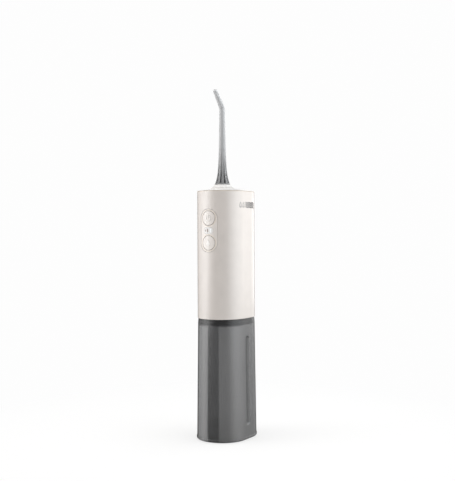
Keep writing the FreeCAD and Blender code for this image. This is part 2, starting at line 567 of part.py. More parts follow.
def involute_gear(module, teeth, y0, y1, z, phase_deg, backlash=0.09):
    """Spur gear whose axis runs along Y. phase_deg is the angle of one tooth's middle from +Z towards +X."""
    pressure = math.radians(20)
    pitch_r = module * teeth / 2
    base_r = pitch_r * math.cos(pressure)
    tip_r, root_r = pitch_r + 0.9 * module, pitch_r - 1.25 * module
    involute = math.tan(pressure) - pressure
    half_tooth = math.pi / (2 * teeth) - backlash / (2 * pitch_r)

    def flank(r):
        """Half the tooth's angle at radius r."""
        if r <= base_r:
            return half_tooth + involute
        a = math.acos(base_r / r)
        return half_tooth + involute - (math.tan(a) - a)

    def point(r, angle):
        return V(r * math.sin(angle), 0, r * math.cos(angle))

    start_r = max(base_r, root_r)
    mid_r = (start_r + tip_r) / 2
    edges = []
    pitch = 2 * math.pi / teeth
    for k in range(teeth):
        c = math.radians(phase_deg) + k * pitch
        foot_l, foot_r = point(root_r, c - flank(start_r)), point(root_r, c + flank(start_r))
        low_l, low_r = point(start_r, c - flank(start_r)), point(start_r, c + flank(start_r))
        top_l, top_r = point(tip_r, c - flank(tip_r)), point(tip_r, c + flank(tip_r))
        if start_r > root_r + 1e-6:
            edges.append(Part.LineSegment(foot_l, low_l).toShape())
        edges.append(Part.Arc(low_l, point(mid_r, c - flank(mid_r)), top_l).toShape())
        edges.append(Part.Arc(top_l, point(tip_r, c), top_r).toShape())
        edges.append(Part.Arc(top_r, point(mid_r, c + flank(mid_r)), low_r).toShape())
        if start_r > root_r + 1e-6:
            edges.append(Part.LineSegment(low_r, foot_r).toShape())
        following = point(root_r, c + pitch - flank(start_r))
        edges.append(Part.Arc(foot_r, point(root_r, c + pitch / 2), following).toShape())
    face = Part.Face(Part.Wire(edges))
    gear = face.extrude(V(0, y1 - y0, 0))
    gear.translate(V(0, y0, z))
    return gear


def make_drive():
    can = cyl(9.0, (0, -20.9, MOTOR_Z), 19.9, Y_AXIS)
    can = can.common(box(-9, 9, -22, 0, MOTOR_Z - 7, MOTOR_Z + 7))
    nose = cyl(3.0, (0, -1.0, MOTOR_Z), 1.6, Y_AXIS)
    end_cap = cyl(6.5, (0, -22.0, MOTOR_Z), 1.1, Y_AXIS)
    motor = can.fuse([nose, end_cap]).cut(cyl(1.05, (0, -19, MOTOR_Z), 20, Y_AXIS))
    for x in MOTOR_SCREW_X:
        motor = motor.cut(cyl(0.75, (x, -4, MOTOR_Z), 4, Y_AXIS))
    parts["motor_body"] = motor.removeSplitter()
    screws = []
    for x in MOTOR_SCREW_X:
        head = cyl(1.6, (x, 0.82, MOTOR_Z), 0.3, Y_AXIS)
        screws.append(head.fuse(cyl(0.72, (x, -3.2, MOTOR_Z), 4.1, Y_AXIS)).removeSplitter())
    parts["motor_screws"] = Part.makeCompound(screws)
    parts["motor_shaft"] = cyl(1.0, (0, -18.5, MOTOR_Z), 24.2, Y_AXIS)
    pinion = involute_gear(GEAR_MODULE, PINION_TEETH, 1.3, 5.3, MOTOR_Z, 180.0 / PINION_TEETH)
    parts["pinion"] = pinion.cut(cyl(1.02, (0, 0, MOTOR_Z), 8, Y_AXIS))

    wheel = involute_gear(GEAR_MODULE, GEAR_TEETH, 1.4, 5.2, GEAR_Z, 180.0)
    journal = cyl(1.9, (0, 5.0, GEAR_Z), 4.3, Y_AXIS)
    wheel = wheel.fuse(journal)
    for k in range(5):
        hole = cyl(1.5, (0, 0, GEAR_Z + 6.6), 8, Y_AXIS)
        hole.rotate(V(0, 0, GEAR_Z), Y_AXIS, 36 + 72 * k)
        wheel = wheel.cut(hole)
    wheel = wheel.cut(ring(3, 1.5, (0, 8.75, GEAR_Z), 0.4, Y_AXIS))
    wheel = wheel.cut(cyl(1.01, (0, 0, GEAR_Z + CRANK_THROW), 4.5, Y_AXIS))
    parts["crank_gear"] = wheel.removeSplitter()
    parts["crank_pin"] = cyl(1.0, (0, -7.2, GEAR_Z + CRANK_THROW), 11.5, Y_AXIS)
    parts["crank_roller"] = ring(ROLLER_R, 1.02, (0, -6.9, GEAR_Z + CRANK_THROW), 2.8, Y_AXIS)
    parts["gear_bush"] = ring(2.98, 1.95, (0, 5.6, GEAR_Z), 2.95, Y_AXIS)
    parts["gear_clip"] = ring(2.8, 1.52, (0, 8.8, GEAR_Z), 0.3, Y_AXIS).cut(
        box(-1.1, 1.1, 8, 10, GEAR_Z - 4, GEAR_Z))


def make_pump():
    yoke_z = GEAR_Z + CRANK_THROW
    slot_half_w, slot_half_h = CRANK_THROW + ROLLER_R + 0.3, ROLLER_R + 0.46
    plate = slab(13.0, 7.4, 0.8, YOKE_FRONT_Y, YOKE_BACK_Y, yoke_z)
    slot = slab(2 * slot_half_w, 2 * slot_half_h, slot_half_h, YOKE_FRONT_Y - 1, YOKE_BACK_Y + 1, yoke_z)
    rod = cyl(1.4, (0, NOZZLE_Y, yoke_z + 3.2), 161.5 - yoke_z - 3.2)
    head = cyl(PISTON_R - 0.1, (0, NOZZLE_Y, 161), 5.0).cut(
        ring(PISTON_R, 2.4, (0, NOZZLE_Y, 162.6), 1.8))
    parts["piston_yoke"] = plate.cut(slot).fuse([rod, head]).removeSplitter()
    parts["piston_seal"] = ring(PISTON_R - 0.02, 2.42, (0, NOZZLE_Y, 162.7), 1.6)

    axis = (0, NOZZLE_Y)
    barrel = cyl(5.0, (*axis, BARREL_LOW_Z), BARREL_TOP_Z - BARREL_LOW_Z)
    foot = rounded_face(21, 10, 3).extrude(V(0, 0, 2))
    foot.translate(V(0, NOZZLE_Y, BARREL_LOW_Z))
    barrel = barrel.fuse([foot, cyl(7.5, (*axis, 165.2), BARREL_TOP_Z - 165.2)])
    barrel = barrel.cut(cyl(PISTON_R + 0.03, (*axis, 150), 20))
    for x in BARREL_SCREW_X:
        barrel = barrel.cut(cyl(1.0, (x, NOZZLE_Y, BARREL_LOW_Z - 1), 4))
    for y in PUMP_SCREW_Y:
        barrel = barrel.cut(cyl(0.9, (0, y, 165), 4))
    parts["pump_barrel"] = barrel.removeSplitter()
    parts["barrel_screws"] = Part.makeCompound(
        [screw(x, NOZZLE_Y, BARREL_LOW_Z + 2.05 + 1.2, 4.8, 0.8, 1.8, 1.2, up=False) for x in BARREL_SCREW_X])

    head = cyl(7.5, (*axis, BARREL_TOP_Z + 0.1), HEAD_TOP_Z - BARREL_TOP_Z - 0.1)
    way = (V(SUCTION_X, SUCTION_Y, 0) - V(*axis, 0)).normalize()
    barb = Part.makeCylinder(1.75, 10.3, V(*axis, INLET_Z), way)
    head = head.fuse(barb)
    head = head.cut(cyl(3.4, (*axis, 168), 1.9)).cut(cyl(1.2, (*axis, 169), 4))
    head = head.cut(cyl(2.4, (*axis, 172), 8)).cut(cyl(1.5, (*axis, 179), 8))
    head = head.cut(Part.makeCylinder(1.0, 12, V(*axis, INLET_Z - 0.4), way))
    for y in PUMP_SCREW_Y:
        head = head.cut(cyl(1.0, (0, y, 165), 25))
    parts["pump_head"] = head.removeSplitter()
    parts["outlet_ball"] = Part.makeSphere(1.8, V(*axis, 173.37))
    parts["outlet_spring"] = coil(1.75, 0.3, 1.2, 4.7, (0, NOZZLE_Y, 175.25))

    socket = revolve([(0, 184.1), (7.5, 184.1), (7.5, 187.0), (5.4, 187.6), (5.4, 200.6), (0, 200.6)])
    socket = socket.cut(cyl(1.5, (*axis, 183), 10)).cut(cyl(STEM_R + 0.15, (*axis, 191.5), 12))
    for y in PUMP_SCREW_Y:
        socket = socket.cut(cyl(1.0, (0, y, 183), 5)).cut(
            cyl(1.75, (0, y, 186.4), 3))
    parts["nozzle_socket"] = socket.removeSplitter()
    parts["pump_screws"] = Part.makeCompound(
        [screw(0, y, 187.45, 21.5, 0.85, 1.65, 1.0, up=False) for y in PUMP_SCREW_Y])


def make_power():
    cell = cyl(BATTERY_R, (0, BATTERY_Y, BATTERY_LOW_Z), BATTERY_LENGTH)
    ends = [e for e in cell.Edges if e.BoundBox.ZLength < 1e-4]
    cell = cell.makeFillet(0.8, ends)
    parts["battery"] = cell.fuse(cyl(2.4, (0, BATTERY_Y, BATTERY_LOW_Z + BATTERY_LENGTH - 0.2), 0.9))
    board = slab(23, 43.4, 1.0, BOARD_Y, BOARD_Y + 1.2, PANEL_Z)
    for x in BOARD_SCREW_X:
        for z in BOARD_SCREW_Z:
            board = board.cut(cyl(0.9, (x, BOARD_Y - 1, z), 4, Y_AXIS))
    parts["circuit_board"] = board
    screws = []
    for x in BOARD_SCREW_X:
        for z in BOARD_SCREW_Z:
            head = cyl(1.3, (x, BOARD_Y - 0.9, z), 0.85, Y_AXIS)
            screws.append(head.fuse(cyl(0.7, (x, BOARD_Y - 0.5, z), 3.0, Y_AXIS)).removeSplitter())
    parts["board_screws"] = Part.makeCompound(screws)
    switches, lamps = [], []
    for sign in (1, -1):
        z = PANEL_Z + sign * BUTTON_PITCH / 2
        base = slab(6, 6, 0.6, BOARD_Y - 2.5, BOARD_Y - 0.02, z)
        switches.append(base.fuse(cyl(1.7, (0, BOARD_Y - 3.2, z), 1.0, Y_AXIS)).removeSplitter())
    for x in LIGHT_X:
        lamps.append(slab(1.2, 1.8, 0.2, BOARD_Y - 0.9, BOARD_Y - 0.02, PANEL_Z, x))
    parts["tact_switches"] = Part.makeCompound(switches)
    parts["indicator_lamps"] = Part.makeCompound(lamps)
    chips = [slab(7, 7, 0.3, BOARD_Y + 1.22, BOARD_Y + 2.3, 182),
             slab(4, 3, 0.2, BOARD_Y + 1.22, BOARD_Y + 2.1, 171, -4),
             slab(3, 4, 0.2, BOARD_Y + 1.22, BOARD_Y + 2.4, 171, 4),
             slab(8, 4.5, 0.3, BOARD_Y + 1.22, BOARD_Y + 4.0, 191, 0)]
    parts["board_chips"] = Part.makeCompound(chips)
    parts["charge_board"] = slab(16, 15, 1.0, 15.1, 16.3, 169.5)
    shell = slab(8.9, 3.2, 1.5, 16.4, 25.4, PORT_Z).cut(slab(8.2, 2.5, 1.2, 19.0, 26, PORT_Z))
    parts["charge_port"] = shell.fuse(slab(6.6, 0.7, 0.2, 18.8, 24.6, PORT_Z)).removeSplitter()


def make_leads():
    top = BATTERY_LOW_Z + BATTERY_LENGTH
    parts["battery_leads"] = Part.makeCompound([
        lead([(4.2, 17.3, top + 0.1), (4.2, 17.3, LEAD_Z), (10.2, 10.0, LEAD_Z),
              (10.2, -10.0, LEAD_Z), (4.6, -17.9, LEAD_Z)], LEAD_R, 0.9),
        lead([(5.4, 19.0, top + 0.1), (5.4, 19.0, LEAD_Z), (11.6, 10.0, LEAD_Z),
              (11.6, -10.0, LEAD_Z), (6.1, -17.9, LEAD_Z)], LEAD_R, 0.9)])
    parts["motor_leads"] = Part.makeCompound([
        lead([(side * 3.0, -22.05, MOTOR_Z), (side * 3.0, -23.6, MOTOR_Z), (side * 3.0, -23.6, 150),
              (side * 3.0, -20.2, 153.6)], LEAD_R, 1.0)
        for side in (-1, 1)])


# ---- release latch and charging cover ----------------------------------------------------------
def make_release():
    outline = slab(9.0, 6.0, 2.0, *BACK_SPAN, RELEASE_Z)
    push = housing_skin(-0.6, 3.6, RELEASE_Z - 6, RELEASE_Z + 6).common(outline)
    for k in range(3):
        z = RELEASE_Z + (k - 1) * 1.4
        push = push.cut(slab(6.0, 0.45, 0.2, 27.75, 30, z))
    flange = slab(11, 8, 1.5, 23.4, 24.4, RELEASE_Z)
    parts["release_button"] = push.fuse(flange).removeSplitter()
    reach_y = 23.35
    plate = box(-3.0, 3.0, NOZZLE_Y, reach_y, RELEASE_Z - 0.6, RELEASE_Z + 0.6)
    eye = rounded_face(10.5, 13.0, 4.5).extrude(V(0, 0, 1.2))
    eye.translate(V(0, NOZZLE_Y + 1.0, RELEASE_Z - 0.6))
    hole = rounded_face(2 * STEM_R + 0.4, 2 * STEM_R + 0.4 + RELEASE_TRAVEL, 2.7).extrude(V(0, 0, 4))
    hole.translate(V(0, NOZZLE_Y + RELEASE_TRAVEL / 2, RELEASE_Z - 2))
    parts["latch_plate"] = plate.fuse(eye).cut(hole).removeSplitter()
    parts["release_spring"] = coil(1.4, 0.32, 1.4, 5.9, (0, 17.4, RELEASE_Z + 2.6), Y_AXIS)


def make_port_cover():
    low, high = PORT_Z - 8, PORT_Z + 10
    plate = housing_skin(0.0, 0.9, low, high).common(slab(13.9, 7.6, 1.6, *BACK_SPAN, PORT_Z))
    roll = cyl(COVER_ROLL_R, (-4.5, COVER_HINGE_Y, COVER_HINGE_Z), 9.0, X_AXIS)
    tongue = housing_skin(0.8, 1.5, low, high).common(slab(8.8, 3.1, 1.5, *BACK_SPAN, PORT_Z))
    nib = housing_skin(-0.5, 0.4, low, high).common(slab(6, 0.9, 0.4, *BACK_SPAN, PORT_Z - 2.9))
    parts["port_cover"] = plate.fuse([roll, tongue, nib]).removeSplitter()
    anchor = housing_skin(0.0, 0.9, low, high).common(slab(13.9, 2.8, 1.3, *BACK_SPAN, PORT_Z + 6.25))
    pin = cyl(0.8, (0, 24.6, PORT_Z + 5.9), 2.6, Y_AXIS)
    parts["cover_anchor"] = anchor.fuse(pin).removeSplitter()


# ---- nozzle ------------------------------------------------------------------------------------
def nozzle_radius(h, flare=3.35):
    """Radius of the nozzle h above its base: a slender cone plus a flare that dies away upward."""
    return 3.35 - 0.0152 * h + flare * math.exp(-h / 8.0)


def nozzle_curve(flare, low, high, steps):
    """Smooth edge through the nozzle's profile between two heights."""
    points = [V(nozzle_radius(low + (high - low) * k / steps, flare), NOZZLE_Y,
                NOZZLE_BASE_Z + low + (high - low) * k / steps) for k in range(steps + 1)]
    curve = Part.BSplineCurve()
    curve.interpolate(points)
    return curve.toShape(), points


def make_nozzle():
    bend = math.radians(NOZZLE_BEND_DEG)
    setback = NOZZLE_BEND_R * math.tan(bend / 2)
    straight_top = NOZZLE_BEND_Z - setback
    top_h = straight_top - NOZZLE_BASE_Z
    edge, points = nozzle_curve(3.35, 0.9, top_h, 12)
    low_r, top_r = points[0].x, points[-1].x
    corners = [V(low_r, NOZZLE_Y, NOZZLE_BASE_Z + 0.9), V(6.7, NOZZLE_Y, NOZZLE_BASE_Z + 0.6),
               V(6.7, NOZZLE_Y, NOZZLE_BASE_Z), V(0, NOZZLE_Y, NOZZLE_BASE_Z),
               V(0, NOZZLE_Y, straight_top), points[-1]]
    face = Part.Face(Part.Wire([edge, *Part.makePolygon(corners).Edges]))
    tube = face.revolve(V(0, NOZZLE_Y, 0), Z_AXIS, 360)

    flute_low, flute_top = 1.3, 30.0
    core, core_points = nozzle_curve(0.25, flute_low, flute_top, 6)
    outside = [core_points[-1], V(9, NOZZLE_Y, NOZZLE_BASE_Z + flute_top),
               V(9, NOZZLE_Y, NOZZLE_BASE_Z + flute_low), core_points[0]]
    wedge = Part.Face(Part.Wire([core, *Part.makePolygon(outside).Edges]))
    flute_deg = 0.46 * 360 / RIB_COUNT
    cutters = []
    for k in range(RIB_COUNT):
        cutter = wedge.revolve(V(0, NOZZLE_Y, 0), Z_AXIS, flute_deg)
        middle = 270 + 360 / RIB_COUNT * (k + 0.5)
        cutter.rotate(V(0, NOZZLE_Y, 0), Z_AXIS, middle - flute_deg / 2)
        cutters.append(cutter)
    tube = tube.cut(cutters)

    pivot = V(0, NOZZLE_Y - NOZZLE_BEND_R, straight_top)
    elbow_face = Part.Face(Part.Wire(Part.makeCircle(top_r, V(0, NOZZLE_Y, straight_top))))
    elbow = elbow_face.revolve(pivot, X_AXIS, NOZZLE_BEND_DEG)
    way = V(0, -math.sin(bend), math.cos(bend))
    tip_start = V(0, NOZZLE_Y, NOZZLE_BEND_Z) + way * setback
    tip_length = NOZZLE_TIP_LENGTH - setback
    tip_r = 1.75
    tip = Part.makeCone(top_r, tip_r, tip_length, tip_start, way)
    tip_end = tip_start + way * tip_length
    stem = cyl(STEM_R, (0, NOZZLE_Y, STEM_BOTTOM_Z), NOZZLE_BASE_Z - STEM_BOTTOM_Z + 0.5)
    lugs = box(-3.7, 3.7, NOZZLE_Y - 0.6, NOZZLE_Y + 0.6, 212.9, NOZZLE_BASE_Z + 0.3)
    body = tube.fuse([elbow, tip, stem, lugs])

    bore = cyl(NOZZLE_BORE_R, (0, NOZZLE_Y, STEM_BOTTOM_Z - 1), straight_top - STEM_BOTTOM_Z + 1)
    bore_face = Part.Face(Part.Wire(Part.makeCircle(NOZZLE_BORE_R, V(0, NOZZLE_Y, straight_top))))
    bore_bend = bore_face.revolve(pivot, X_AXIS, NOZZLE_BEND_DEG)
    bore_tip = Part.makeCone(NOZZLE_BORE_R, 0.65, tip_length + 0.01, tip_start, way)
    body = body.cut([bore, bore_bend, bore_tip])
    mouth = [e for e in body.Edges if e.Length > 9 and (e.CenterOfMass - tip_end).Length < 0.3]
    body = body.makeFillet(0.45, mouth)
    body = body.cut(ring(3, 2.1, (0, NOZZLE_Y, RELEASE_Z - 0.9), 1.8))
    body = body.cut(ring(3, 1.48, (0, NOZZLE_Y, 194.6), 1.2))
    parts["jet_nozzle"] = body.removeSplitter()
    parts["nozzle_o_ring"] = torus(2.05, 0.55, (0, NOZZLE_Y, 195.2))


def make_dial():
    foot_z, top_z = 212.55, NOZZLE_BASE_Z - 0.1
    low, high = V(10.1, NOZZLE_Y, foot_z + 0.25), V(7.1, NOZZLE_Y, top_z - 0.25)
    waist = V(8.15, NOZZLE_Y, 213.95)
    flare = Part.Arc(low, waist, high).toShape()
    corners = [high, V(6.85, NOZZLE_Y, top_z), V(0, NOZZLE_Y, top_z), V(0, NOZZLE_Y, 203.2),
               V(4.3, NOZZLE_Y, 203.2), V(4.3, NOZZLE_Y, foot_z), V(9.9, NOZZLE_Y, foot_z), low]
    face = Part.Face(Part.Wire([flare, *Part.makePolygon(corners).Edges]))
    dial = face.revolve(V(0, NOZZLE_Y, 0), Z_AXIS, 360)
    dial = dial.cut(cyl(STEM_R + 0.15, (0, NOZZLE_Y, 200), 20))
    dial = dial.cut(box(-3.85, 3.85, NOZZLE_Y - 0.75, NOZZLE_Y + 0.75, 212.7, 220))
    dial = dial.cut(ring(6, 3.8, (0, NOZZLE_Y, 207.9), 0.9))
    parts["nozzle_dial"] = dial.removeSplitter()
    clip = ring(5.9, 3.85, (0, NOZZLE_Y, 207.97), 0.75)
    parts["dial_clip"] = clip.cut(box(-1.6, 1.6, NOZZLE_Y, NOZZLE_Y + 8, 207, 210))


def make_all():
    make_tank()
    make_tank_base()
    make_filler_door()
    make_housing()
    make_top_cap()
    make_panel()
    make_button("power_button", PANEL_Z + BUTTON_PITCH / 2, power_icon(PANEL_Z + BUTTON_PITCH / 2))
    make_button("mode_button", PANEL_Z - BUTTON_PITCH / 2, drop_icon(PANEL_Z - BUTTON_PITCH / 2))
    make_chassis()
    make_bulkhead()
    make_suction()
    make_drive()
    make_pump()
    make_power()
    make_leads()
    make_release()
    make_port_cover()
    make_nozzle()
    make_dial()


make_all()
os.makedirs("parts", exist_ok=True)
for name, shape in sorted(parts.items()):
    sound = shape.isValid() and all(s.isValid() and s.isClosed() and s.Volume > 0 for s in shape.Solids)
    state = "ok" if sound else "BAD"
    print(f"{name:18s} solids {len(shape.Solids):2d}  volume {shape.Volume:10.2f}  {state}")
    shape.exportStep(f"parts/{name}.step")
print(len(parts), "nodes")
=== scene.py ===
"""Looks of a cordless water flosser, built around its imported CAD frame.

Metres in the CAD's own frame: +Z is up, -Y is the front with the two buttons, and the origin is the
middle of the foot pad's underside.
"""

import math

import bmesh
import bpy
from mathutils import Matrix, Vector


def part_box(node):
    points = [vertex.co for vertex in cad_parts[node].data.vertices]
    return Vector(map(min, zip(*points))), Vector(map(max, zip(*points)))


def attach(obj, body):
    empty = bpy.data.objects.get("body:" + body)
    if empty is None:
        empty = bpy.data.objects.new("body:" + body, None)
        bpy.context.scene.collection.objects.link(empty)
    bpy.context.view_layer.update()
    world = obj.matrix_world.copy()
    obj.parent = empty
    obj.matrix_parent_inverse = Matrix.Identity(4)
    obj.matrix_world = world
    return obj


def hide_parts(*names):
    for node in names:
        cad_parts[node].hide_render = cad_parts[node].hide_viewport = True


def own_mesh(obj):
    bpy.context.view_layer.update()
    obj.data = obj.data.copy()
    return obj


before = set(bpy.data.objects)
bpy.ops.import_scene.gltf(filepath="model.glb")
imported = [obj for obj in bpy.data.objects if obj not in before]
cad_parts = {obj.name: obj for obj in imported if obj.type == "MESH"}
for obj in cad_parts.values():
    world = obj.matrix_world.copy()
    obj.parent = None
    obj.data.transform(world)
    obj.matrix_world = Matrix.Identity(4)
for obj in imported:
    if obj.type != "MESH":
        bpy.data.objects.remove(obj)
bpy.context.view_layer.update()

MM = 0.001

# ---- driving sizes, read from the frame --------------------------------------------------------
HOUSING_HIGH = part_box("main_housing")[1]
END_R = HOUSING_HIGH[0]                       # radius of the handset's round front and back
HALF_GAP = HOUSING_HIGH[1] - END_R            # from the axis to the centre of a round end
HOUSING_TOP = HOUSING_HIGH[2]
NOZZLE_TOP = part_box("jet_nozzle")[1][2]
SEAM_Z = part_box("tank_shell")[1][2]           # top of the tank's wall

# ---- camera ------------------------------------------------------------------------------------
CAMERA_AZIMUTH = math.radians(33.0)
CAMERA_DISTANCE = 0.706
CAMERA_HEIGHT = 0.1723
CAMERA_RIGHT = 0.00114                        # sideways offset from the handset's axis
CAMERA_ROLL = math.radians(0.26)
LENS_MM, SENSOR_MM = 61.4, 36.0
SHIFT_Y = -0.0104


# ---- node helpers ------------------------------------------------------------------------------
MIX_COLOR_A, MIX_COLOR_B, MIX_COLOR = 6, 7, 2         # a Mix node's colour inputs and output
NOISE_LOW, NOISE_HIGH = 0.3, 0.7              # between these lie nearly all values of a noise


def shaded(rgb, share):
    return tuple(min(1.0, c * share) for c in rgb)


class Surface:
    """A Principled material whose colour, roughness and relief vary through procedural noise."""

    def __init__(self, name, rgb, roughness, **sockets):
        self.material = bpy.data.materials.new(name)
        self.material.use_nodes = True
        self.tree = self.material.node_tree
        self.shader = self.tree.nodes["Principled BSDF"]
        self.rgb = rgb
        self.put(self.shader, "Base Color", (*rgb, 1))
        self.put(self.shader, "Roughness", roughness)
        for socket, value in sockets.items():
            self.put(self.shader, socket.replace("_", " "), value)
        self.place = self.node("ShaderNodeTexCoord").outputs["Object"]
        self.relief = None

    def node(self, kind, **properties):
        made = self.tree.nodes.new(kind)
        for key, value in properties.items():
            setattr(made, key, value)
        return made

    def put(self, node, socket, value):
        if isinstance(value, bpy.types.NodeSocket):
            self.tree.links.new(value, node.inputs[socket])
        else:
            node.inputs[socket].default_value = value

    def math(self, operation, a, b):
        made = self.node("ShaderNodeMath", operation=operation)
        self.put(made, 0, a)
        self.put(made, 1, b)
        return made.outputs[0]

    def scaled_place(self, scale, rotation=(0, 0, 0)):
        mapping = self.node("ShaderNodeMapping")
        self.put(mapping, "Vector", self.place)
        self.put(mapping, "Rotation", rotation)
        self.put(mapping, "Scale", scale)
        return mapping.outputs[0]

    def texture(self, kind, size, stretch=(1, 1, 1)):
        """Texture node whose features are about size metres across."""
        made = self.node(kind)
        self.put(made, "Vector", self.scaled_place(tuple(s / size for s in stretch)))
        self.put(made, "Scale", 1.0)
        return made

    def noise(self, size, detail=2.0, stretch=(1, 1, 1)):
        """Noise from 0 to 1."""
        made = self.texture("ShaderNodeTexNoise", size, stretch)
        self.put(made, "Detail", detail)
        return made.outputs["Fac"]

    def cells(self, size):
        return self.texture("ShaderNodeTexVoronoi", size).outputs["Distance"]

    def coordinate(self, axis):
        split = self.node("ShaderNodeSeparateXYZ")
        self.put(split, 0, self.place)
        return split.outputs[axis]

    def height(self, low, high):
        """0 at height low, 1 at height high."""
        return self.spread(self.coordinate("Z"), low, high, 0.0, 1.0)

    def spread(self, value, low, high, to_low, to_high):
        """Value's range from low to high mapped to the other range, and held at its ends."""
        made = self.node("ShaderNodeMapRange")
        self.put(made, "Value", value)
        self.put(made, "From Min", low)
        self.put(made, "From Max", high)
        self.put(made, "To Min", to_low)
        self.put(made, "To Max", to_high)
        return made.outputs[0]

    def tint(self, factor, low_rgb, high_rgb):
        """Colour from low_rgb to high_rgb as factor goes from 0 to 1."""
        ramp = self.node("ShaderNodeValToRGB")
        self.put(ramp, "Fac", factor)
        ramp.color_ramp.elements[0].color = (*low_rgb, 1)
        ramp.color_ramp.elements[1].color = (*high_rgb, 1)
        self.put(self.shader, "Base Color", ramp.outputs["Color"])
        return ramp

    def stain(self, mask, rgb):
        """Changes the base colour to rgb where mask is 1."""
        mix = self.node("ShaderNodeMix", data_type="RGBA")
        self.put(mix, 0, mask)
        self.put(mix, MIX_COLOR_A, self.shader.inputs["Base Color"].links[0].from_socket)
        self.put(mix, MIX_COLOR_B, (*rgb, 1))
        self.put(self.shader, "Base Color", mix.outputs[MIX_COLOR])

    def distance(self, centre, axes):
        """Distance from centre, counting only the axes that are 1."""
        offset = self.node("ShaderNodeVectorMath", operation="SUBTRACT")
        self.put(offset, 0, self.place)
        self.put(offset, 1, centre)
        flat = self.node("ShaderNodeVectorMath", operation="MULTIPLY")
        self.put(flat, 0, offset.outputs[0])
        self.put(flat, 1, axes)
        made = self.node("ShaderNodeVectorMath", operation="LENGTH")
        self.put(made, 0, flat.outputs[0])
        return made.outputs["Value"]

    def drift(self, size, low, high, detail=3.0):
        """Value that wanders between low and high."""
        return self.spread(self.noise(size, detail), NOISE_LOW, NOISE_HIGH, low, high)

    def mottle(self, size, share):
        """Slight variation of the base colour, by share each way."""
        low, high = shaded(self.rgb, 1 - share), shaded(self.rgb, 1 + share)
        self.tint(self.drift(size, 0.0, 1.0), low, high)
        return self

    def sheen_change(self, size, low, high):
        """Roughness that wanders between low and high."""
        self.put(self.shader, "Roughness", self.drift(size, low, high))
        return self

    def bump(self, value, depth):
        """Relief of the given depth, on top of any earlier one."""
        made = self.node("ShaderNodeBump")
        self.put(made, "Height", value)
        self.put(made, "Distance", depth)
        if self.relief is not None:
            self.put(made, "Normal", self.relief)
        self.relief = made.outputs["Normal"]
        self.put(self.shader, "Normal", self.relief)
        return self


# ---- materials ---------------------------------------------------------------------------------
SEAM_AND_PAINTED_LIGHT_RGB = (0.74, 0.655, 0.56)                # beige edges of the ivory parts, lightened as painted light over the shade in their gaps
SIGN_RGB = (0.81, 0.78, 0.75)                 # the raised signs on the two buttons
EDGE_BLUR = 0.2 * MM                          # width over which a beige edge starts and ends
IVORY_FADE, IVORY_PAINTED_SHADE = 95 * MM, 0.86       # height of the housing's painted shade, and its darkest share


def cap_seam(made):
    """The beige line where the top cap meets the housing, partly painted light over the seam's
    shade.
    """
    low, high = HOUSING_TOP - 0.55 * MM, HOUSING_TOP + 0.35 * MM
    above = made.height(low, low + EDGE_BLUR)
    below = made.height(high, high - EDGE_BLUR)
    # beige seam, partly painted light over the gap's shade
    made.stain(made.math("MULTIPLY", above, below), SEAM_AND_PAINTED_LIGHT_RGB)


def ivory_plastic():
    """Ivory with painted shade, a little darker towards the handset's lower end."""
    made = Surface("ivory_satin", (0.685, 0.632, 0.592), 0.32, Coat_Weight=0.6, Coat_Roughness=0.2)
    rise = made.height(SEAM_Z, SEAM_Z + IVORY_FADE)
    rise = made.math("ADD", rise, made.drift(9 * MM, -0.15, 0.15))
    # painted shade: darker towards the housing's lower end
    made.tint(rise, shaded(made.rgb, IVORY_PAINTED_SHADE), made.rgb)
    cap_seam(made)
    made.sheen_change(5 * MM, 0.30, 0.34)
    made.bump(made.noise(0.18 * MM, 2.0), 0.003 * MM)
    return made.bump(made.noise(14 * MM, 1.0), 0.008 * MM)


def ivory_panel():
    """Ivory like the housing, with paler signs on the buttons and beige edges around them, partly
    painted light over the gaps' shade.
    """
    made = Surface("ivory_panel", (0.715, 0.665, 0.625), 0.30, Coat_Weight=0.6, Coat_Roughness=0.2)
    made.mottle(6 * MM, 0.012).sheen_change(3 * MM, 0.29, 0.35)
    for name in ("power_button", "mode_button"):
        low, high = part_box(name)
        button_r = high[0]
        rim = button_r + 0.4 * MM
        away = made.distance((0, 0, (low[2] + high[2]) / 2), (1, 0, 1))
        outside = made.spread(away, button_r - EDGE_BLUR, button_r, 0.0, 1.0)
        inside = made.spread(away, rim, rim + EDGE_BLUR, 1.0, 0.0)
        # beige rim, partly painted light over the gap's shade
        made.stain(made.math("MULTIPLY", outside, inside), SEAM_AND_PAINTED_LIGHT_RGB)
    sign_r = -HALF_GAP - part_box("power_button")[0][1]     # reach of a sign's face
    reach = made.distance((0, -HALF_GAP, 0), (1, 1, 0))
    raised = made.spread(reach, sign_r - 0.24 * MM, sign_r - 0.18 * MM, 0.0, 1.0)
    made.stain(raised, SIGN_RGB)
    return made.bump(made.noise(0.16 * MM, 2.0), 0.002 * MM)


def cap_plastic():
    """Whiter and more satin than the housing."""
    made = Surface("cap_white", (0.77, 0.75, 0.73), 0.5, Specular_IOR_Level=0.35, Coat_Weight=0.1,
                   Coat_Roughness=0.3)
    made.mottle(6 * MM, 0.012).sheen_change(3 * MM, 0.46, 0.54)
    cap_seam(made)
    return made.bump(made.noise(0.16 * MM, 2.0), 0.002 * MM)


SMOKE_RGB = (0.208, 0.208, 0.211)
SMOKE_PAINTED_SHADE = 0.4                              # share of that colour left where the painted shade is darkest
GROOVE_MIDDLE_Z, GROOVE_STRAIGHT, GROOVE_R = 49.9 * MM, 69.2 * MM, 3.0 * MM
GROOVE_BLUR, GROOVE_SHADE_AND_DULL = 0.8 * MM, 0.62
FOOT_Z, FOOT_PAINTED_SHADE = 26 * MM, 0.38             # from here down painted shade darkens the tank towards its rim
FALL_Z, FALL_PAINTED_SHADE = 90 * MM, 0.2              # and from here down painted shade darkens it a little
SHOULDER_LOW, SHOULDER_HIGH = SEAM_Z - 6.2 * MM, SEAM_Z - 4.6 * MM


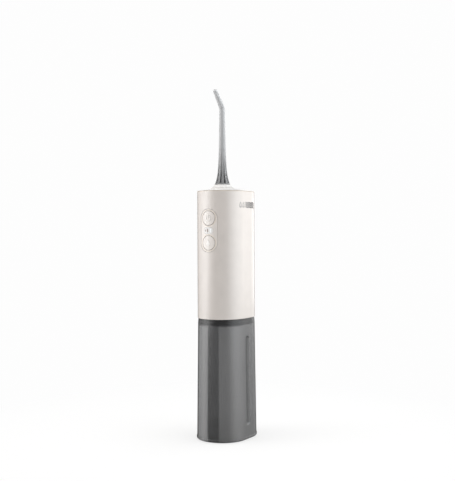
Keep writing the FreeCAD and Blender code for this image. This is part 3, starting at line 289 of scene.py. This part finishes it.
def smoky_plastic():
    """Smoky see-through plastic under a polished skin.

    It is duller at its shoulder and in its grooves. Painted shade darkens it there and towards its
    foot.
    """
    made = Surface("smoky_clear", SMOKE_RGB, 0.22, IOR=1.49, Transmission_Weight=0.72,
                   Coat_Roughness=0.02)
    from_middle = made.math("SUBTRACT", made.coordinate("Z"), GROOVE_MIDDLE_Z)
    beyond = made.math("SUBTRACT", made.math("ABSOLUTE", from_middle, 0.0), GROOVE_STRAIGHT / 2)
    beyond = made.math("POWER", made.math("MAXIMUM", beyond, 0.0), 2.0)
    reach = made.math("ADD", made.math("POWER", made.coordinate("Y"), 2.0), beyond)
    groove = made.spread(reach, (GROOVE_R - GROOVE_BLUR) ** 2, GROOVE_R ** 2, 1.0, 0.0)
    shoulder = made.height(SHOULDER_LOW, SHOULDER_HIGH)
    shade_and_dull = made.math("MAXIMUM", shoulder, made.math("MULTIPLY", groove, GROOVE_SHADE_AND_DULL))
    foot = made.math("ADD", made.math("MULTIPLY", made.height(FOOT_Z, 2 * MM), FOOT_PAINTED_SHADE),
                     made.math("MULTIPLY", made.height(FALL_Z, 20 * MM), FALL_PAINTED_SHADE))
    # painted shade: the colour darkens at the shoulder, in the grooves and towards the foot
    made.tint(made.math("MAXIMUM", shade_and_dull, foot), SMOKE_RGB, shaded(SMOKE_RGB, SMOKE_PAINTED_SHADE))
    made.put(made.shader, "Coat Weight", made.spread(shade_and_dull, 0.0, 1.0, 1.0, 0.04))
    made.put(made.shader, "Specular IOR Level", made.spread(shade_and_dull, 0.0, 1.0, 0.5, 0.1))
    return made.sheen_change(8 * MM, 0.19, 0.25)


def nozzle_plastic():
    """Milky grey plastic with painted shade, darker at the nozzle's thick foot and lighter towards
    its tip.
    """
    made = Surface("nozzle_clear_grey", (0.5, 0.5, 0.5), 0.36, IOR=1.49, Specular_IOR_Level=0.3,
                   Coat_Weight=0.08, Coat_Roughness=0.2, Subsurface_Weight=0.5,
                   Subsurface_Scale=1.0, Subsurface_Radius=(1.5 * MM, 1.5 * MM, 1.5 * MM))
    rise = made.height(NOZZLE_TOP - 80 * MM, NOZZLE_TOP - 10 * MM)
    rise = made.math("ADD", rise, made.drift(5 * MM, -0.03, 0.03, 2.0))
    # painted shade from the dark foot to the lighter tip
    ramp = made.tint(rise, (0.235, 0.235, 0.239), (0.56, 0.56, 0.565))
    middle = ramp.color_ramp.elements.new(0.45)
    middle.color = (0.46, 0.46, 0.465, 1)
    return made.sheen_change(3 * MM, 0.32, 0.42)


def black_rubber():
    made = Surface("black_rubber", (0.028, 0.028, 0.030), 0.72, Specular_IOR_Level=0.35)
    made.mottle(4 * MM, 0.2).sheen_change(2 * MM, 0.62, 0.8)
    return made.bump(made.noise(0.35 * MM, 4.0), 0.02 * MM)


def ivory_rubber():
    made = Surface("ivory_rubber", (0.72, 0.69, 0.64), 0.62, Specular_IOR_Level=0.4)
    made.mottle(4 * MM, 0.02).sheen_change(2 * MM, 0.56, 0.7)
    return made.bump(made.noise(0.3 * MM, 3.0), 0.01 * MM)


def dark_plastic():
    made = Surface("dark_moulding", (0.035, 0.035, 0.038), 0.42)
    made.mottle(6 * MM, 0.15).sheen_change(3 * MM, 0.36, 0.5)
    return made.bump(made.noise(0.2 * MM, 3.0), 0.006 * MM)


def steel():
    made = Surface("steel", (0.58, 0.585, 0.60), 0.28, Metallic=1.0)
    made.mottle(1.5 * MM, 0.06).sheen_change(1.2 * MM, 0.2, 0.36)
    return made.bump(made.noise(0.12 * MM, 2.0, (1, 1, 0.08)), 0.002 * MM)


def nickel():
    made = Surface("nickel_plate", (0.66, 0.645, 0.61), 0.24, Metallic=1.0)
    made.mottle(5 * MM, 0.05).sheen_change(2 * MM, 0.16, 0.32)
    return made.bump(made.noise(0.25 * MM, 2.0, (1, 0.05, 1)), 0.002 * MM)


def bronze():
    made = Surface("sintered_bronze", (0.55, 0.36, 0.16), 0.4, Metallic=1.0)
    made.mottle(0.8 * MM, 0.12).sheen_change(0.6 * MM, 0.32, 0.5)
    return made.bump(made.cells(0.22 * MM), 0.01 * MM)


def white_acetal():
    made = Surface("white_acetal", (0.79, 0.79, 0.765), 0.3, Subsurface_Weight=0.15,
                   Subsurface_Radius=(0.8 * MM, 0.8 * MM, 0.7 * MM))
    made.mottle(3 * MM, 0.02).sheen_change(2 * MM, 0.26, 0.36)
    return made.bump(made.noise(0.2 * MM, 2.0), 0.004 * MM)


def silicone():
    made = Surface("milky_silicone", (0.74, 0.76, 0.76), 0.32, IOR=1.41, Transmission_Weight=0.35)
    made.mottle(6 * MM, 0.03).sheen_change(3 * MM, 0.28, 0.4)
    return made.bump(made.noise(1.2 * MM, 2.0, (1, 1, 0.2)), 0.01 * MM)


def milky_lens():
    made = Surface("milky_lens", (0.75, 0.73, 0.71), 0.24)
    made.mottle(2 * MM, 0.01).sheen_change(1.5 * MM, 0.18, 0.28)
    return made.bump(made.noise(0.4 * MM, 1.0), 0.002 * MM)


def level_marks():
    """The three light pipes: two unlit, warm grey, and the tallest lit white."""
    made = Surface("level_marks", (0.5, 0.45, 0.42), 0.25)
    lit = made.spread(made.coordinate("X"), 0.6 * MM, 0.9 * MM, 0.0, 1.0)
    made.tint(lit, (0.30, 0.245, 0.215), (0.88, 0.88, 0.88))
    made.put(made.shader, "Emission Color", (1, 1, 1, 1))
    made.put(made.shader, "Emission Strength", made.math("MULTIPLY", lit, 0.04))
    return made.sheen_change(1 * MM, 0.2, 0.3)


def cell_wrap():
    """Blue shrink sleeve with a pale band near its top."""
    made = Surface("cell_sleeve", (0.03, 0.12, 0.36), 0.3, Coat_Weight=0.4, Coat_Roughness=0.12)
    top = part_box("battery")[1][2]
    made.tint(made.height(top - 9 * MM, top - 8.8 * MM), made.rgb, (0.72, 0.72, 0.70))
    made.sheen_change(4 * MM, 0.24, 0.38)
    return made.bump(made.noise(3 * MM, 2.0, (1, 1, 0.3)), 0.02 * MM)


TRACKS_PER_M = 420


def solder_mask():
    """Green board with paler copper tracks under the mask."""
    made = Surface("solder_mask", (0.012, 0.13, 0.05), 0.28, Coat_Weight=0.3, Coat_Roughness=0.1)
    bricks = made.node("ShaderNodeTexBrick")
    upright = (math.radians(90), 0, 0)
    made.put(bricks, "Vector", made.scaled_place((TRACKS_PER_M,) * 3, upright))
    made.put(bricks, "Scale", 1.0)
    made.put(bricks, "Mortar Size", 0.05)
    made.tint(bricks.outputs["Fac"], made.rgb, (0.06, 0.27, 0.10))
    made.sheen_change(2 * MM, 0.22, 0.36)
    return made.bump(bricks.outputs["Fac"], 0.03 * MM)


def epoxy_black():
    made = Surface("chip_epoxy", (0.022, 0.022, 0.024), 0.5)
    made.mottle(1 * MM, 0.2).sheen_change(0.8 * MM, 0.42, 0.6)
    return made.bump(made.noise(0.12 * MM, 2.0), 0.006 * MM)


def lamp_resin():
    made = Surface("lamp_resin", (0.85, 0.80, 0.45), 0.25)
    made.mottle(0.6 * MM, 0.05).sheen_change(0.5 * MM, 0.2, 0.32)
    return made.bump(made.noise(0.2 * MM, 1.0), 0.003 * MM)


def wire_sleeve():
    """Red insulation on the right-hand leads, black on the left-hand ones."""
    made = Surface("wire_sleeve", (0.42, 0.02, 0.015), 0.42)
    side = made.spread(made.coordinate("X"), -0.1 * MM, 0.1 * MM, 0.0, 1.0)
    made.tint(side, (0.02, 0.02, 0.022), made.rgb)
    made.sheen_change(2 * MM, 0.36, 0.5)
    return made.bump(made.noise(0.5 * MM, 2.0), 0.006 * MM)


def print_ink():
    """Dark grey ink that is lighter towards the front of the handset."""
    made = Surface("print_ink", (0.1, 0.1, 0.1), 0.45)
    depth = made.spread(made.coordinate("Y"), -8 * MM, 10 * MM, 0.0, 1.0)
    made.tint(depth, (0.30, 0.29, 0.285), (0.012, 0.012, 0.013))
    return made.sheen_change(0.6 * MM, 0.4, 0.55)


BACKDROP_RGB = (0.985, 0.985, 0.985)
FLOOR_R = 0.26
FLOOR_LIT_R = 0.06                            # from here the floor's shading fades outwards
FLOOR_GLOW = 0.66                             # share of the backdrop's white near the object


def pale_floor():
    """Warm white floor that turns into the backdrop's own white far from the object."""
    made = Surface("pale_floor", (0.90, 0.895, 0.885), 0.75, Specular_IOR_Level=0.2)
    made.mottle(300 * MM, 0.006).sheen_change(60 * MM, 0.7, 0.85)
    span = made.distance((0, 0, 0), (1, 1, 1))
    fade = made.spread(span, FLOOR_LIT_R, FLOOR_R - 5 * MM, FLOOR_GLOW, 1.0)
    glow = made.node("ShaderNodeEmission")
    made.put(glow, "Color", (*BACKDROP_RGB, 1))
    made.put(glow, "Strength", 1.0)
    mix = made.node("ShaderNodeMixShader")
    made.put(mix, 0, fade)
    made.put(mix, 1, made.shader.outputs[0])
    made.put(mix, 2, glow.outputs[0])
    made.put(made.tree.nodes["Material Output"], "Surface", mix.outputs[0])
    return made


FINISHES = {
    ivory_plastic: ["main_housing", "release_button"],
    ivory_panel: ["control_bezel", "power_button", "mode_button"],
    cap_plastic: ["top_cap", "nozzle_dial"],
    smoky_plastic: ["tank_shell", "tank_base", "filler_door"],
    nozzle_plastic: ["jet_nozzle"],
    black_rubber: ["foot_pad", "filler_seal", "tank_seal", "nozzle_o_ring", "piston_seal"],
    ivory_rubber: ["port_cover", "cover_anchor"],
    dark_plastic: ["bulkhead", "chassis", "intake_filter", "latch_plate"],
    steel: ["door_hinge_pin", "housing_screws", "motor_screws", "barrel_screws", "pump_screws",
            "board_screws", "release_spring", "outlet_spring", "charge_port", "dial_clip",
            "crank_pin", "gear_clip", "motor_shaft", "inlet_ball", "outlet_ball"],
    nickel: ["motor_body"],
    bronze: ["gear_bush", "crank_roller", "pinion"],
    white_acetal: ["suction_fitting", "pump_barrel", "pump_head", "nozzle_socket", "crank_gear",
                   "piston_yoke"],
    silicone: ["pickup_tube", "inlet_hose"],
    milky_lens: ["indicator_lens"],
    level_marks: ["light_pipes"],
    cell_wrap: ["battery"],
    solder_mask: ["circuit_board", "charge_board"],
    epoxy_black: ["tact_switches", "board_chips"],
    lamp_resin: ["indicator_lamps"],
    wire_sleeve: ["battery_leads", "motor_leads"],
}


def dress_frame():
    """Gives every CAD node its finish."""
    for finish, names in FINISHES.items():
        material = finish().material
        for name in names:
            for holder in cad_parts[name].material_slots:
                holder.material = material


def add_object(name, data):
    made = bpy.data.objects.new(name, data)
    bpy.context.collection.objects.link(made)
    return made


def add_mesh(name, mesh, surface):
    """Object with the given finish from a bmesh, which is freed."""
    data = bpy.data.meshes.new(name)
    mesh.to_mesh(data)
    mesh.free()
    made = add_object(name, data)
    data.materials.append(surface.material)
    return made


# ---- springs copied onto the handset -----------------------------------------------------------
def live_spring(node):
    """Copy of a CAD spring, attached to the handset with its own mesh in place of the CAD part."""
    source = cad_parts[node]
    coil = add_object(node + "_coil", source.data.copy())
    coil.matrix_world = source.matrix_world.copy()
    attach(coil, "handset")
    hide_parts(node)
    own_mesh(coil)


def springs():
    live_spring("release_spring")
    live_spring("outlet_spring")


# ---- printed mark on the right-hand side -------------------------------------------------------
PRINT_Z = HOUSING_TOP - 11.6 * MM
PRINT_THICKNESS = 0.03 * MM
PRINT_GAP = 0.004 * MM
WAVE_START, WAVE_END, WAVE_SPACING = -2.8 * MM, 12.4 * MM, 1.75 * MM
WAVE_COUNT, WAVE_STEPS = 3, 72
WAVE_SWELL, WAVE_HALF_WIDTH = 0.50 * MM, 0.56 * MM
TAPER_START, TAPER_RATE = 0.25, 6             # share of the width at a wave's end, and its growth
DROPS = (-5.3 * MM, -9.5 * MM)                # places of the drops along the wall
DROP_R, DROP_HALF_WIDTH, DROP_STEPS = 1.55 * MM, 0.42 * MM, 64
DROP_POINT, DROP_TALLNESS = 0.55, 1.25        # how slender the drop's point is, and height to width


def on_side(along, up, out):
    """Point on the handset's right-hand wall: along runs to the back around its outline."""
    reach = END_R + out
    over = abs(along) - HALF_GAP
    if over <= 0:
        return Vector((reach, along, PRINT_Z + up))
    angle = over / END_R
    y = math.copysign(HALF_GAP + reach * math.sin(angle), along)
    return Vector((reach * math.cos(angle), y, PRINT_Z + up))


def ribbon(mesh, left, right, closed=False):
    """Flat raised band between two rows of (along, up) points."""
    low = [[mesh.verts.new(on_side(*p, PRINT_GAP)) for p in row] for row in (left, right)]
    high = [[mesh.verts.new(on_side(*p, PRINT_GAP + PRINT_THICKNESS)) for p in row]
            for row in (left, right)]
    count = len(left)
    for i in range(count if closed else count - 1):
        j = (i + 1) % count
        mesh.faces.new((high[0][i], high[0][j], high[1][j], high[1][i]))
        mesh.faces.new((low[0][j], low[0][i], low[1][i], low[1][j]))
        mesh.faces.new((low[0][i], low[0][j], high[0][j], high[0][i]))
        mesh.faces.new((low[1][j], low[1][i], high[1][i], high[1][j]))
    if not closed:
        for i in (0, count - 1):
            mesh.faces.new((low[0][i], high[0][i], high[1][i], low[1][i]))


def wave(mesh, up):
    """Wavy line whose two ends taper off."""
    length = WAVE_END - WAVE_START
    turn = WAVE_COUNT * 2 * math.pi
    left, right = [], []
    for k in range(WAVE_STEPS + 1):
        share = k / WAVE_STEPS
        along = WAVE_START + length * share
        height = up + WAVE_SWELL * math.sin(share * turn)
        slope = WAVE_SWELL * math.cos(share * turn) * turn / length
        size = math.hypot(1, slope)
        thick = WAVE_HALF_WIDTH * min(1.0, TAPER_START + TAPER_RATE * min(share, 1 - share))
        left.append((along - slope / size * thick, height + thick / size))
        right.append((along + slope / size * thick, height - thick / size))
    ribbon(mesh, left, right)


def droplet(mesh, along):
    """Outline of a water drop."""
    inner, outer = [], []
    for k in range(DROP_STEPS):
        angle = 2 * math.pi * k / DROP_STEPS
        x = math.sin(angle) * ((1 - math.cos(angle)) / 2) ** DROP_POINT
        z = math.cos(angle) * DROP_TALLNESS
        for row, scale in ((inner, DROP_R - DROP_HALF_WIDTH), (outer, DROP_R + DROP_HALF_WIDTH)):
            row.append((along + scale * x, scale * z))
    ribbon(mesh, outer, inner, closed=True)


def side_print():
    """Plain mark of three waves and two drops."""
    mesh = bmesh.new()
    for row in (-1, 0, 1):
        wave(mesh, row * WAVE_SPACING)
    for along in DROPS:
        droplet(mesh, along)
    bmesh.ops.recalc_face_normals(mesh, faces=mesh.faces)
    mark = add_mesh("side_print", mesh, print_ink())
    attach(mark, "handset")


# ---- stage, light and camera -------------------------------------------------------------------
BOX_DISTANCE = 0.8                            # of the soft boxes, from the object's axis
BOX_LOW, WAIST = -0.30, 0.030                 # heights of the lower tier of soft boxes
BOX_HIGH = 0.65                               # and of the upper tier, which starts at WAIST
WHITE_LIGHT = (1, 1, 1)
COOL_LIGHT = (0.955, 1.0, 1.03)               # only the upper right-hand box
TOP_SIZE, TOP_HEIGHT, TOP_RADIANCE = 1.6, 1.25, 2.0
AMBIENT_RGB, AMBIENT = (1.0, 0.99, 0.975), 0.12


def make_floor():
    mesh = bmesh.new()
    bmesh.ops.create_circle(mesh, cap_ends=True, radius=FLOOR_R, segments=96)
    floor = add_mesh("floor", mesh, pale_floor())
    floor.location.z = -0.02 * MM             # clear of the foot pad's underside
    floor.visible_glossy = False


def outwards_and_right(turn):
    """Level directions away from the axis and to the right of it, for a turn from -Y towards +X."""
    return Vector((math.sin(turn), -math.cos(turn), 0)), Vector((math.cos(turn), math.sin(turn), 0))


def add_light(name, width, depth, radiance, rgb=WHITE_LIGHT):
    """Rectangular area light that the camera does not see."""
    data = bpy.data.lights.new(name, "AREA")
    data.shape = "RECTANGLE"
    data.size, data.size_y = width, depth
    data.energy = radiance * math.pi * width * depth
    data.color = rgb
    light = add_object(name, data)
    light.visible_camera = False
    return light


def soft_box(name, facing, low, high, stops, rgb=WHITE_LIGHT):
    """Upright soft box that faces the object's axis, between two heights.

    Bearings are in degrees: 0 is the camera's side, and positive is to its right. facing is the
    bearing that the box is square to, and stops lists (bearing, radiance) from the light's left
    edge to its right edge.
    """
    def across(bearing):
        return BOX_DISTANCE * math.tan(math.radians(bearing - facing))

    left, right = across(stops[0][0]), across(stops[-1][0])
    brightest = max(radiance for _, radiance in stops)
    light = add_light(name, right - left, high - low, brightest, rgb)
    turn = CAMERA_AZIMUTH + math.radians(facing)
    outwards, rightwards = outwards_and_right(turn)
    light.location = (outwards * BOX_DISTANCE + rightwards * (left + right) / 2
                      + Vector((0, 0, (low + high) / 2)))
    light.rotation_euler = (math.radians(90), 0, turn)
    shade_light(light.data, [((across(bearing) - left) / (right - left), radiance / brightest)
                             for bearing, radiance in stops])


def shade_light(data, stops):
    """Makes a light's strength follow (place across its width from 0 to 1, share) stops."""
    data.use_nodes = True
    tree = data.node_tree
    across = tree.nodes.new("ShaderNodeSeparateXYZ")
    ramp = tree.nodes.new("ShaderNodeValToRGB")
    tree.links.new(tree.nodes.new("ShaderNodeNewGeometry").outputs["Parametric"], across.inputs[0])
    tree.links.new(across.outputs[0], ramp.inputs["Fac"])
    tree.links.new(ramp.outputs["Color"], tree.nodes["Emission"].inputs["Strength"])
    points = ramp.color_ramp.elements
    while len(points) < len(stops):
        points.new(0.5)
    for point, (place, share) in zip(points, stops):
        point.position = min(1.0, max(0.0, place))
        point.color = (share, share, share, 1)


def make_lights():
    """Soft boxes all round in two tiers, and a wide one overhead.

    The lower tier ends at WAIST, so the polished tank mirrors it up to its shoulder.
    """
    soft_box("left_low", -102, BOX_LOW, WAIST,
             [(-140, 0.4), (-115, 0.8), (-100, 1.7), (-88, 2.05), (-71, 1.8)])
    soft_box("left_high", -92, WAIST, BOX_HIGH,
             [(-140, 0.6), (-115, 0.9), (-100, 2.4), (-86, 3.7), (-72, 4.3), (-59, 2.1), (-45, 0.7),
              (-35, 0.1)])
    soft_box("front_low", 8, BOX_LOW, WAIST, [(-17.3, 0.8), (20, 0.85), (32, 1.1)])
    soft_box("right_low", 64, BOX_LOW, WAIST,
             [(32, 1.1), (46, 1.6), (62, 1.95), (78, 1.75), (98, 1.2)])
    soft_box("right_high", 64, WAIST, BOX_HIGH,
             [(20, 0.1), (34, 1.0), (48, 1.9), (62, 2.55), (78, 2.65), (98, 2.1)], COOL_LIGHT)
    soft_box("back_low", 122, BOX_LOW, WAIST, [(98, 1.2), (118, 0.5), (150, 0.2)])
    soft_box("back_high", 122, WAIST, BOX_HIGH, [(98, 2.1), (118, 1.6), (150, 2.1)])
    add_light("top_box", TOP_SIZE, TOP_SIZE, TOP_RADIANCE).location = (0, 0, TOP_HEIGHT)


def make_world():
    """White backdrop for what is seen directly or through plastic, and dimmer light all round."""
    world = bpy.data.worlds.new("studio")
    world.use_nodes = True
    tree = world.node_tree
    seen = tree.nodes["Background"]
    seen.inputs["Color"].default_value = (*BACKDROP_RGB, 1)
    ambient = tree.nodes.new("ShaderNodeBackground")
    ambient.inputs["Color"].default_value = (*AMBIENT_RGB, 1)
    ambient.inputs["Strength"].default_value = AMBIENT
    path = tree.nodes.new("ShaderNodeLightPath")
    direct = tree.nodes.new("ShaderNodeMath")
    direct.operation = "MAXIMUM"
    tree.links.new(path.outputs["Is Camera Ray"], direct.inputs[0])
    tree.links.new(path.outputs["Is Transmission Ray"], direct.inputs[1])
    mix = tree.nodes.new("ShaderNodeMixShader")
    tree.links.new(direct.outputs[0], mix.inputs[0])
    tree.links.new(ambient.outputs[0], mix.inputs[1])
    tree.links.new(seen.outputs[0], mix.inputs[2])
    tree.links.new(mix.outputs[0], tree.nodes["World Output"].inputs["Surface"])
    bpy.context.scene.world = world


def make_camera():
    data = bpy.data.cameras.new("camera")
    data.lens = LENS_MM
    data.sensor_width = SENSOR_MM
    data.shift_y = SHIFT_Y
    data.clip_start = 0.01
    camera = add_object("camera", data)
    outwards, rightwards = outwards_and_right(CAMERA_AZIMUTH)
    place = outwards * CAMERA_DISTANCE + rightwards * CAMERA_RIGHT + Vector((0, 0, CAMERA_HEIGHT))
    turn = Matrix.Rotation(CAMERA_AZIMUTH, 4, "Z") @ Matrix.Rotation(math.radians(90), 4, "X")
    camera.matrix_world = Matrix.Translation(place) @ turn @ Matrix.Rotation(-CAMERA_ROLL, 4, "Z")
    bpy.context.scene.camera = camera


dress_frame()
springs()
side_print()
make_floor()
make_lights()
make_world()
make_camera()
bpy.context.scene.view_settings.view_transform = "Standard"
